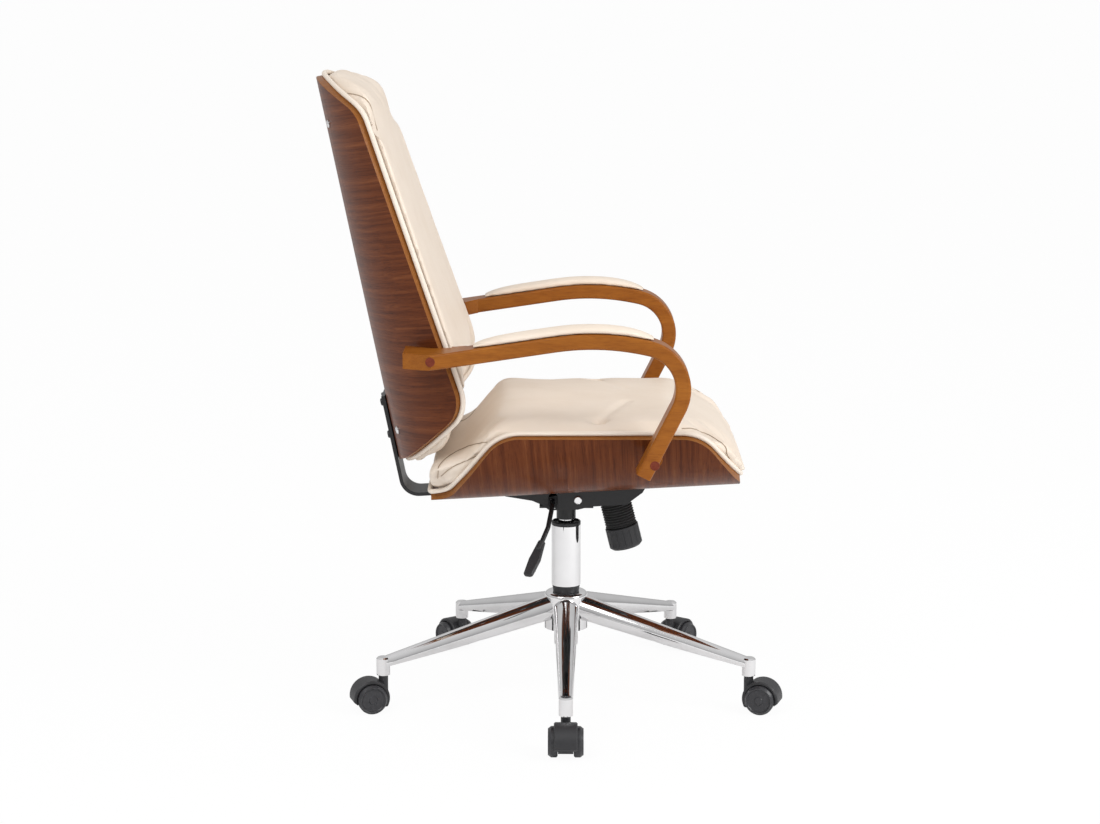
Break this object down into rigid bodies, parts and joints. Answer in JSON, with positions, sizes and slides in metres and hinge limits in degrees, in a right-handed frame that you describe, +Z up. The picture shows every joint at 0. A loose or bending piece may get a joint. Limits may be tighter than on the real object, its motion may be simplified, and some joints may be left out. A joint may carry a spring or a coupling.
{
  "type": "office chair",
  "caption": "Swivel office chair with moulded plywood seat and back shells, leather cushions, bentwood arms, tilt mechanism, gas column and star base on twin-wheel casters",
  "frame": {"origin": "on the floor, on the axis of the swivel column", "axes": "+X is the front of the chair, +Y the sitter's left, +Z up"},
  "size_m": [0.7808, 0.6974, 1.0768],
  "materials": {
    "walnut": "gloss lacquered walnut veneer",
    "arm_wood": "satin lacquered bentwood",
    "plug_wood": "satin dark plug",
    "upholstery": "satin cream leather over foam",
    "chrome": "polished plate",
    "black_plastic": "fine textured moulding",
    "black_paint": "satin powder coat",
    "steel": "plain steel",
    "nylon": "moulded nylon",
    "boot_rubber": "matt rubber"
  },
  "bodies": {
    "base": {"star_base": "chrome", "base_ring": "black_plastic", "column_tube": "chrome", "column_collar": "black_plastic", "thrust_bearing": "steel"},
    "spindle": {"piston_rod": "steel", "column_clip": "steel"},
    "lift": {"gas_cylinder": "chrome", "hub_bracket": "black_paint"},
    "button": {"release_button": "steel"},
    "lever": {"lever_rod": "black_paint", "lever_handle": "black_plastic"},
    "seat": {"tilt_housing": "black_paint", "pivot_bolt": "chrome", "pivot_nut": "steel", "housing_bolts": "steel", "tension_bolt": "steel", "tension_spring": "steel", "tension_bellows": "boot_rubber", "seat_shell": "walnut", "seat_cushion": "upholstery", "seat_screws": "chrome", "back_shell": "walnut", "back_cushion": "upholstery", "headrest_cushion": "upholstery", "back_screws": "chrome", "back_bracket": "black_paint", "bracket_bolts": "black_paint", "arm_right": "arm_wood", "arm_left": "arm_wood", "arm_pad_right": "upholstery", "arm_pad_left": "upholstery", "arm_bolts": "steel", "arm_plugs": "plug_wood", "arm_spacers": "arm_wood"},
    "knob": {"tension_knob": "black_plastic"},
    "caster_1": {"caster_1_hood": "black_plastic", "caster_1_pins": "steel"},
    "wheel_1_left": {"caster_1_wheel_left": "nylon"},
    "wheel_1_right": {"caster_1_wheel_right": "nylon"},
    "caster_2": {"caster_2_hood": "black_plastic", "caster_2_pins": "steel"},
    "wheel_2_left": {"caster_2_wheel_left": "nylon"},
    "wheel_2_right": {"caster_2_wheel_right": "nylon"},
    "caster_3": {"caster_3_hood": "black_plastic", "caster_3_pins": "steel"},
    "wheel_3_left": {"caster_3_wheel_left": "nylon"},
    "wheel_3_right": {"caster_3_wheel_right": "nylon"},
    "caster_4": {"caster_4_hood": "black_plastic", "caster_4_pins": "steel"},
    "wheel_4_left": {"caster_4_wheel_left": "nylon"},
    "wheel_4_right": {"caster_4_wheel_right": "nylon"},
    "caster_5": {"caster_5_hood": "black_plastic", "caster_5_pins": "steel"},
    "wheel_5_left": {"caster_5_wheel_left": "nylon"},
    "wheel_5_right": {"caster_5_wheel_right": "nylon"}
  },
  "joints": [
    {"name": "swivel", "type": "hinge", "parent": "base", "child": "spindle", "pos_m": [0, 0, 0.2], "axis": [0, 0, 1], "continuous": true},
    {"name": "height", "type": "slide", "parent": "spindle", "child": "lift", "axis": [0, 0, 1], "range_m": [0, 0.095]},
    {"name": "tilt", "type": "hinge", "parent": "lift", "child": "seat", "pos_m": [0.0199, 0, 0.3584], "axis": [0, -1, 0], "range_deg": [0, 12], "stiffness_Nm_per_rad": 260, "springref_deg": -12, "deforming": ["tension_spring", "tension_bellows"]},
    {"name": "lever", "type": "hinge", "parent": "lift", "child": "lever", "pos_m": [-0.023, -0.054, 0.352], "axis": [-1, 0, 0], "range_deg": [0, 5], "stiffness_Nm_per_rad": 1.2, "springref_deg": -4.01},
    {"name": "button", "type": "slide", "parent": "lift", "child": "button", "axis": [0, 0, -1], "range_m": [0, 0.0048]},
    {"name": "tension", "type": "hinge", "parent": "seat", "child": "knob", "pos_m": [0.075, 0, 0.377], "axis": [0.2402, 0, -0.9707], "range_deg": [-720, 720]},
    {"name": "caster_1", "type": "hinge", "parent": "base", "child": "caster_1", "pos_m": [0, -0.325, 0.06], "axis": [0, 0, 1], "continuous": true},
    {"name": "wheel_1_left", "type": "hinge", "parent": "caster_1", "child": "wheel_1_left", "pos_m": [0, -0.349, 0.025], "axis": [1, 0, 0], "continuous": true},
    {"name": "wheel_1_right", "type": "hinge", "parent": "caster_1", "child": "wheel_1_right", "pos_m": [0, -0.349, 0.025], "axis": [1, 0, 0], "continuous": true},
    {"name": "caster_2", "type": "hinge", "parent": "base", "child": "caster_2", "pos_m": [0.30909, -0.10043, 0.06], "axis": [0, 0, 1], "continuous": true},
    {"name": "wheel_2_left", "type": "hinge", "parent": "caster_2", "child": "wheel_2_left", "pos_m": [0.33192, -0.10785, 0.025], "axis": [0.309, 0.9511, 0], "continuous": true},
    {"name": "wheel_2_right", "type": "hinge", "parent": "caster_2", "child": "wheel_2_right", "pos_m": [0.33192, -0.10785, 0.025], "axis": [0.309, 0.9511, 0], "continuous": true},
    {"name": "caster_3", "type": "hinge", "parent": "base", "child": "caster_3", "pos_m": [0.19103, 0.26293, 0.06], "axis": [0, 0, 1], "continuous": true},
    {"name": "wheel_3_left", "type": "hinge", "parent": "caster_3", "child": "wheel_3_left", "pos_m": [0.20514, 0.28235, 0.025], "axis": [-0.809, 0.5878, 0], "continuous": true},
    {"name": "wheel_3_right", "type": "hinge", "parent": "caster_3", "child": "wheel_3_right", "pos_m": [0.20514, 0.28235, 0.025], "axis": [-0.809, 0.5878, 0], "continuous": true},
    {"name": "caster_4", "type": "hinge", "parent": "base", "child": "caster_4", "pos_m": [-0.19103, 0.26293, 0.06], "axis": [0, 0, 1], "continuous": true},
    {"name": "wheel_4_left", "type": "hinge", "parent": "caster_4", "child": "wheel_4_left", "pos_m": [-0.20514, 0.28235, 0.025], "axis": [-0.809, -0.5878, 0], "continuous": true},
    {"name": "wheel_4_right", "type": "hinge", "parent": "caster_4", "child": "wheel_4_right", "pos_m": [-0.20514, 0.28235, 0.025], "axis": [-0.809, -0.5878, 0], "continuous": true},
    {"name": "caster_5", "type": "hinge", "parent": "base", "child": "caster_5", "pos_m": [-0.30909, -0.10043, 0.06], "axis": [0, 0, 1], "continuous": true},
    {"name": "wheel_5_left", "type": "hinge", "parent": "caster_5", "child": "wheel_5_left", "pos_m": [-0.33192, -0.10785, 0.025], "axis": [0.309, -0.9511, 0], "continuous": true},
    {"name": "wheel_5_right", "type": "hinge", "parent": "caster_5", "child": "wheel_5_right", "pos_m": [-0.33192, -0.10785, 0.025], "axis": [0.309, -0.9511, 0], "continuous": true}
  ],
  "couplings": [
    {"joint": "button", "follows": "lever", "m_per_rad": 0.054}
  ]
}
